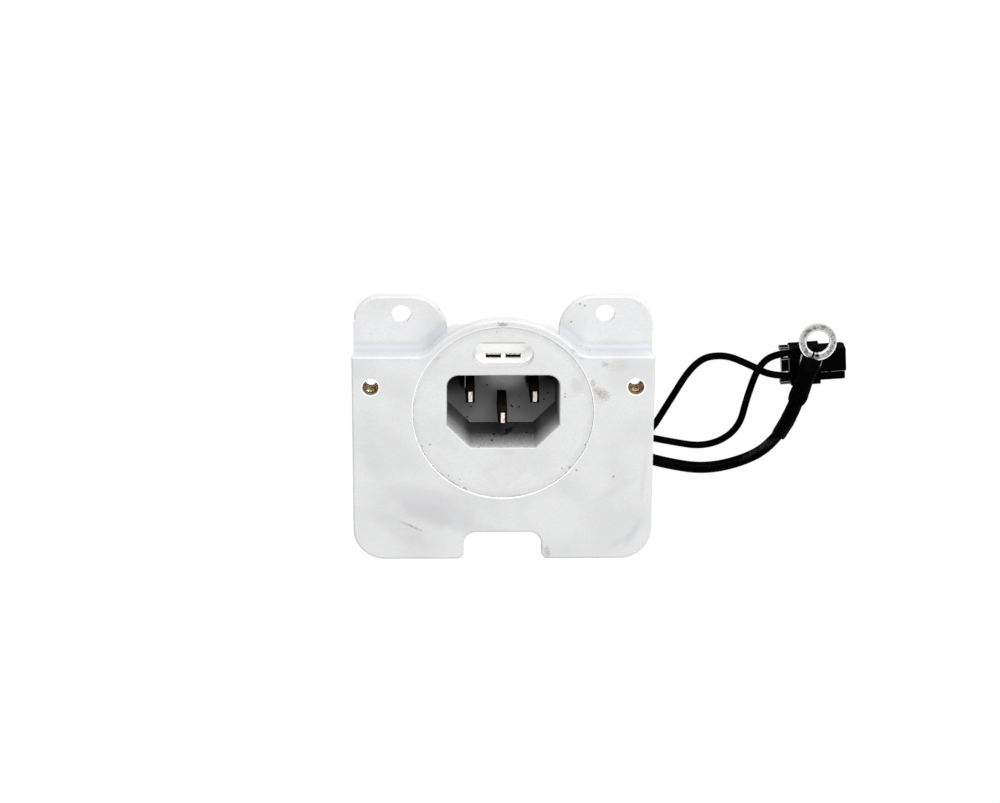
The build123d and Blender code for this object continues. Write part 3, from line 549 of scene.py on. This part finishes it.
earth_route = [
    (4.0, -2.2, 7.5), (12.8, -2.2, 7.5), (20.5, -12.0, 5.0), (28.5, -19.0, 2.4), (37.5, -22.3, 1.3),
    (47.5, -23.9, 1.3), (58.0, -20.8, 1.3), (62.9, -15.8, 2.1), (65.4, -8.3, 7.0), (67.14, -2.92, 6.71),
]


def lead(name, node, route, diameter):
    """A round lead along its route, from its soldered tail to what it ends in."""
    curve = bpy.data.curves.new(name, "CURVE")
    curve.dimensions = "3D"
    curve.bevel_depth = diameter / 2
    curve.bevel_resolution = 5
    curve.resolution_u = 12
    curve.use_fill_caps = True
    spline = curve.splines.new("NURBS")
    spline.points.add(len(route) - 1)
    for point, place in zip(spline.points, route):
        point.co = (*(value * mm for value in place), 1.0)
    spline.order_u = 3
    spline.use_endpoint_u = True
    piece = new_piece(name, curve, lead_finish)
    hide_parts(node)


lead("live_wire", "live_lead", live_route, thin_diameter)
lead("neutral_wire", "neutral_lead", neutral_route, thin_diameter)

# Ring terminal: stamped and rolled from tinned copper, crimped on the earth lead.  Its rims
# carry painted highlights, and its face has gone mottled.
ring_centre = (70.694, 8.069)
ring_rim = 4.2
tin_grey, mottled_grey = (0.70, 0.70, 0.69), (0.20, 0.20, 0.20)
warm_highlight, white_highlight, notch_shade_black = (0.92, 0.88, 0.81), (0.98, 0.98, 0.98), (0.01, 0.01, 0.01)
tin_finish = Finish("tinned_copper", Metallic=1.0)
mottle = tin_finish.noise(1.3, 5.0, rough=0.7)
fine = tin_finish.noise(4.0, 3.0)
tin_colour = tin_finish.mix(mottle.ramp(0.44, 0.60), tin_grey, mottled_grey)
x, y = tin_finish.axes()[:2]
out = ((x - ring_centre[0]) ** 2 + (y - ring_centre[1]) ** 2) ** 0.5
# Painted highlights on the ring's inner and outer rims, warm on the far half and white towards the lead.
towards_lead = (ring_centre[1] - y).ramp(-1.2, 1.2)
rim_highlights = (out < 3.05 - towards_lead * 0.2) + (out > ring_rim - 0.25) * (out < ring_rim + 0.1)
tin_colour = tin_finish.mix(rim_highlights * (1 - towards_lead) * 0.8, tin_colour, warm_highlight)
tin_colour = tin_finish.mix(rim_highlights * towards_lead, tin_colour, white_highlight)
# Painted shade: a dark notch at the ring's foot, towards the lead.
notch_shade = tin_finish.stain((70.6, 5.0), (0.75, 0.75), 0, 0.3)
tin_colour = tin_finish.mix(notch_shade, tin_colour, notch_shade_black)
tin_finish.feed("Base Color", tin_colour)
tin_finish.feed("Metallic", 1 - rim_highlights * towards_lead * 0.8)
tin_finish.feed("Roughness", mottle * 0.35 + 0.22)
tin_finish.bump(mottle + fine * 0.3, 0.06)
tin_finish.cover("ring_terminal", "plug_contact_neutral", "plug_contact_live")

# Sleeves of the ring terminal: black heat-shrink, creased where it shrank and raggedly cut.  The
# outer one is pulled over barrel and tongue and is flat at its mouth, and a narrower one lies
# under it round the lead.
shrink_wall = 0.3 * mm
crease_depth, frayed_from = 0.07, 0.8
tube_sides, tube_rows = 64, 60
ring_distance = 11.6 * mm
terminal_end, terminal_bend, lead_rise = (Vector(point) * mm for point in earth_route[:-4:-1])
terminal_axis = (terminal_end - terminal_bend).normalized()
terminal_across = Vector((0, 0, 1)).cross(terminal_axis).normalized()
ring_place = terminal_end + ring_distance * terminal_axis
outer_sleeve_profile = [
    (3.86, 2.6, 0.95, -0.7),
    (6.5, 2.27, 1.92, 0.0),
    (9.2, 2.0, 1.95, 0.0),
    (13.2, 2.2, 2.2, 0.0),
    (14.6, 1.95, 1.95, 0.0),
]
under_sleeve_profile = [(0.0, 1.62, 1.62, 0.0), (5.0, 1.72, 1.72, 0.0), (11.0, 1.66, 1.66, 0.0)]


def section_at(profile, distance):
    """Half width, half height and offset of a sleeve at a distance along it, in millimetres."""
    for near, far in zip(profile, profile[1:]):
        if distance <= far[0]:
            share = (distance - near[0]) / (far[0] - near[0])
            return [a + (b - a) * share for a, b in zip(near[1:], far[1:])]
    return profile[-1][1:]


def creased_sleeve(name, profile, spine, ragged, node):
    """Outer skin from one end to the other, then back along the inner skin.

    The spine gives the middle of the sleeve and its direction at a distance along it."""
    start, end = profile[0][0], profile[-1][0]
    stations = [start + (end - start) * row / tube_rows for row in range(tube_rows + 1)]
    rings = [(station, 0.0) for station in stations]
    rings += [(station, shrink_wall) for station in reversed(stations)]
    points, faces = [], []
    for station, shrink in rings:
        wide, high, rise = (size * mm for size in section_at(profile, station))
        for side in range(tube_sides):
            angle = 2 * math.pi * side / tube_sides
            c, s = math.cos(angle), math.sin(angle)
            crease = 1 - crease_depth * abs(noise.noise(Vector((c * 2.2, s * 2.2, station * 0.8))))
            fray = abs(noise.noise(Vector((c * 1.6, s * 1.6, 7.0))))
            cut = ragged * fray * max(0.0, station / end - frayed_from) / (1 - frayed_from)
            middle, along = spine(station - cut)
            across = Vector((0, 0, 1)).cross(along).normalized()
            points.append(middle + (wide * crease - shrink) * c * across
                          + ((high * crease - shrink) * s + rise) * along.cross(across))
    for row in range(len(rings)):
        here, there = row * tube_sides, (row + 1) % len(rings) * tube_sides
        for side in range(tube_sides):
            beside = (side + 1) % tube_sides
            faces.append((here + side, here + beside, there + beside, there + side))
    mesh = bpy.data.meshes.new(name)
    mesh.from_pydata(points, [], faces)
    mesh.update()
    piece = new_piece(name, mesh, sleeve_finish)
    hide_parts(node)
    return piece


def terminal_spine(distance):
    """Straight back from the ring, along the terminal."""
    return ring_place - distance * mm * terminal_axis, terminal_axis


def lead_spine(distance):
    """From inside the outer sleeve back along the lead's bend."""
    bend_length, tucked_in = 8.7, 1.2
    bend_start = (terminal_bend + lead_rise) / 2
    share = max(0.0, min(1.0, 1 - (distance + tucked_in) / bend_length))
    middle = ((1 - share) ** 2 * bend_start + 2 * share * (1 - share) * terminal_bend
              + share ** 2 * terminal_end)
    from_bend, to_end = terminal_bend - bend_start, terminal_end - terminal_bend
    along = ((1 - share) * from_bend + share * to_end).normalized()
    beyond = max(0.0, distance + tucked_in - bend_length) * mm
    return middle - beyond * along, along


sleeve_finish = Finish("creased_heat_shrink", Specular_IOR_Level=0.012)
crinkle = sleeve_finish.noise(1.8, 4.0)
across_angle = math.degrees(math.atan2(terminal_across.y, terminal_across.x))
across, back = sleeve_finish.along((ring_place.x / mm, ring_place.y / mm), across_angle)
from_ring = 0 - back
narrowing = from_ring.ramp(3.9, 9.2, smooth=False) * -0.6
widening = from_ring.ramp(9.2, 13.2, smooth=False) * 0.2
half_width = 2.6 + narrowing + widening
# Painted highlights: pale lines along both folded sides of the outer sleeve.
fold_highlight = (abs(across) / half_width).ramp(0.86, 0.92) * (from_ring < 13.0)
highlight_breakup = sleeve_finish.noise(1.1, 3.0).ramp(0.42, 0.62)
sleeve_black, fold_highlight_white = (0.0005, 0.0005, 0.0005), (0.90, 0.90, 0.90)
sleeve_colour = sleeve_finish.mix(fold_highlight * (highlight_breakup * 0.6 + 0.4), sleeve_black, fold_highlight_white)
sleeve_finish.feed("Base Color", sleeve_colour)
sleeve_finish.feed("Roughness", crinkle * 0.3 + 0.35)
sleeve_finish.bump(crinkle, 0.08)
outer_sleeve = creased_sleeve("creased_sleeve", outer_sleeve_profile, terminal_spine, 0.9, "ring_sleeve")
under_sleeve = creased_sleeve("creased_undersleeve", under_sleeve_profile, lead_spine, 0.7,
                              "ring_undersleeve")

# Earth lead: the thicker one of the three, crimped into the ring terminal.  It is made here, after
# the terminal and its sleeves, because it carries them.
lead("earth_wire", "earth_lead", earth_route, earth_diameter)

# Two-way plug: a black moulded housing with a lock pushed in between its leads.  Its rails, its
# lock and the step on its nose are painted grey along their edges.
plug_middle, plug_turn, plug_rear = (71.05, 2.16), 4.0, -6.15
plug_black, clouded_black = (0.0005, 0.0005, 0.0005), (0.0012, 0.0012, 0.0012)
edge_grey = (0.30, 0.30, 0.30)
plug_finish = Finish("plug_plastic", Specular_IOR_Level=0.004)
grain = plug_finish.noise(3.0, 3.0)
along, across = plug_finish.along(plug_middle, plug_turn)
height = plug_finish.axes()[2]


def edges(places, centre, half, width):
    """1 along the edges of a box, and 0 elsewhere."""
    within, near = 1.0, 0.0
    for place, middle, size in zip(places, centre, half):
        away = abs(place - middle)
        within = (away < size + 0.05) * within
        near = (away > size - width) + near
    return (near > 1.5) * within


rails = edges((along, abs(across), height), (plug_rear - 1.1, 4.05, 2.25), (1.1, 0.3, 1.0), 0.14)
lock_rim = edges((along, across, height), (plug_rear - 0.95, 0.0, 2.25), (0.95, 1.5, 0.65), 0.16)
step = (abs(across + 1.65) < 0.09) * (along > 0.7) * (height > 3.9)
brightened = (rails + lock_rim).most(step * grain.ramp(0.40, 0.55)).least(1.0)
black = plug_finish.mix(grain, plug_black, clouded_black)
plug_finish.feed("Base Color", plug_finish.mix(brightened * (grain * 0.6 + 0.5), black, edge_grey))
plug_finish.feed("Roughness", grain * 0.2 + 0.4)
plug_finish.bump(grain, 0.01)
plug_finish.cover("plug_housing", "plug_lock")

# Table: a white board under the socket.  It stays white behind the object, as on a catalogue's
# page, and keeps a soft shadow.
floor_mesh = bpy.data.meshes.new("table")
half_side = 3.0
corners = [(-half_side, -half_side, 0), (half_side, -half_side, 0), (half_side, half_side, 0),
           (-half_side, half_side, 0)]
floor_mesh.from_pydata(corners, [], [(0, 1, 2, 3)])
floor = bpy.data.objects.new("table", floor_mesh)
bpy.context.collection.objects.link(floor)
floor_finish = Finish("table_white", Base_Color=(0.86, 0.86, 0.86, 1.0), Roughness=0.8)
tree = floor_finish.tree
seen = floor_finish.node("ShaderNodeLightPath", {}, {}, "Is Camera Ray")
glow = floor_finish.node("ShaderNodeEmission", {}, {"Color": (1.0, 1.0, 1.0, 1.0), "Strength": 1.05})
blend = floor_finish.node("ShaderNodeMixShader", {}, {0: seen * 0.9})
tree.links.new(floor_finish.surface.outputs[0], blend.link.node.inputs[1])
tree.links.new(glow.link, blend.link.node.inputs[2])
tree.links.new(blend.link, tree.nodes["Material Output"].inputs["Surface"])
floor_finish.dress(floor)

# Light: a large soft box beyond the ears, a weaker one on the right, and a bright room that
# softens the shadows.


def soft_box(name, place, size, watts):
    """A square lamp that faces the socket."""
    lamp = bpy.data.lights.new(name, "AREA")
    lamp.shape = "SQUARE"
    lamp.size = size
    lamp.energy = watts
    box = bpy.data.objects.new(name, lamp)
    box.location = place
    box.rotation_euler = (aim - Vector(place)).to_track_quat("-Z", "Y").to_euler()
    bpy.context.collection.objects.link(box)


soft_box("rear_soft_box", (0.15, 0.74, 0.74), 0.6, 8.1)
soft_box("right_soft_box", (0.8, 0.1, 0.7), 0.5, 1.5)
world = bpy.data.worlds.new("room")
bpy.context.scene.world = world
world.use_nodes = True
room = world.node_tree.nodes["Background"]
room.inputs["Color"].default_value = (1.0, 1.0, 1.0, 1.0)
room.inputs["Strength"].default_value = 0.6
